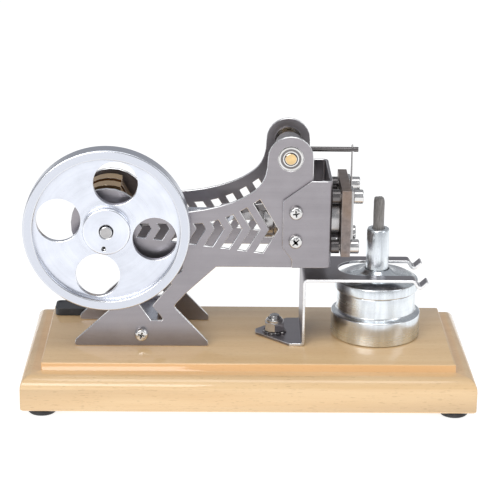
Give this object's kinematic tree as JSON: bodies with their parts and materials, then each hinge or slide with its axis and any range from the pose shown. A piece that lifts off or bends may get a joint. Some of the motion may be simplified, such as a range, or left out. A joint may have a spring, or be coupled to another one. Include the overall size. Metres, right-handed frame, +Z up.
{
  "type": "flame licker engine model",
  "caption": "Small flame-licker vacuum engine on a moulded wooden base, with a spoked-out disc flywheel, twin side plates, sliding valve and a spirit burner.",
  "frame": {"origin": "middle of the base's footprint, on the surface that the rubber feet stand on", "axes": "+X along the base from the flywheel end to the burner end, +Y away from the flywheel's side, +Z up"},
  "size_m": [0.19, 0.086, 0.1147],
  "materials": {
    "wood": "pale pine or beech under satin lacquer",
    "rubber": "black rubber",
    "black_plastic": "black name plate with no text",
    "stainless": "satin stainless sheet with bright cut edges",
    "aluminium": "turned and polished aluminium",
    "nickel": "bright nickel-plated fasteners and bearings",
    "brass": "turned brass",
    "steel": "ground steel",
    "iron": "dark rough brown-grey plate",
    "felt": "grey wick"
  },
  "bodies": {
    "frame": {"base_board": "wood", "foot_front_left": "rubber", "foot_front_right": "rubber", "foot_rear_left": "rubber", "foot_rear_right": "rubber", "name_plate": "black_plastic", "side_plate_front": "stainless", "side_plate_rear": "stainless", "head_bracket": "stainless", "burner_bracket": "stainless", "foot_block": "aluminium", "foot_screw_front": "nickel", "foot_screw_rear": "nickel", "bracket_screw_front_upper": "nickel", "bracket_screw_front_lower": "nickel", "bracket_screw_rear_upper": "nickel", "bracket_screw_rear_lower": "nickel", "head_screw_upper_front": "nickel", "head_screw_upper_rear": "nickel", "head_screw_lower_front": "nickel", "head_screw_lower_rear": "nickel", "rocker_bearing_front": "nickel", "rocker_bearing_rear": "nickel", "crank_bearing_front": "nickel", "crank_bearing_rear": "nickel", "lock_nut": "nickel", "base_screw_front": "steel", "base_screw_rear": "steel", "cylinder": "steel", "standoff_upper_front": "steel", "standoff_upper_rear": "steel", "standoff_lower_front": "steel", "standoff_lower_rear": "steel", "valve_guide": "steel", "toothed_washer": "steel", "bracket_bolt": "steel", "port_plate": "iron"},
    "crank": {"crankshaft_front": "steel", "crankshaft_rear": "steel", "crank_disc_front": "brass", "crank_disc_rear": "brass", "crank_pin": "steel", "eccentric": "brass", "flywheel": "aluminium", "flywheel_grub_screw": "steel"},
    "con_rod": {"con_rod": "aluminium"},
    "push_rod": {"push_rod": "steel"},
    "piston": {"piston": "steel", "wrist_pin": "steel"},
    "rocker": {"rocker_shaft": "brass", "rocker_hub": "steel", "rocker_rod": "steel", "drop_arm": "steel"},
    "valve": {"valve_plate": "steel", "valve_wire": "steel"},
    "burner": {"burner_tank": "aluminium", "burner_cap": "aluminium", "wick_tube": "aluminium", "wick": "felt"}
  },
  "joints": [
    {"name": "crank_spin", "type": "hinge", "parent": "frame", "child": "crank", "pos_m": [-0.0595, 0.0012, 0.0763], "axis": [0, 1, 0], "continuous": true},
    {"name": "con_rod_pivot", "type": "hinge", "parent": "crank", "child": "con_rod", "pos_m": [-0.0525, 0.0012, 0.0763], "axis": [0, 1, 0], "continuous": true},
    {"name": "push_rod_pivot", "type": "hinge", "parent": "crank", "child": "push_rod", "pos_m": [-0.0595, -0.0111, 0.07386], "axis": [0, 1, 0], "continuous": true},
    {"name": "piston_slide", "type": "slide", "parent": "frame", "child": "piston", "axis": [1, 0, 0], "range_m": [-0.014, 0]},
    {"name": "rocker_pivot", "type": "hinge", "parent": "frame", "child": "rocker", "pos_m": [0.0166, 0.0012, 0.1052], "axis": [0, 1, 0], "range_deg": [-7, 7]},
    {"name": "valve_slide", "type": "slide", "parent": "frame", "child": "valve", "axis": [0, 0, 1], "range_m": [-0.0033, 0.0033]},
    {"name": "burner_slide", "type": "slide", "parent": "frame", "child": "burner", "axis": [1, 0, 0], "range_m": [-0.005, 0]}
  ],
  "couplings": [
    {"joint": "con_rod_pivot", "follows": "crank_spin", "ratio": -1},
    {"joint": "push_rod_pivot", "follows": "crank_spin", "ratio": -1},
    {"joint": "valve_slide", "follows": "rocker_pivot", "m_per_rad": -0.0265}
  ]
}
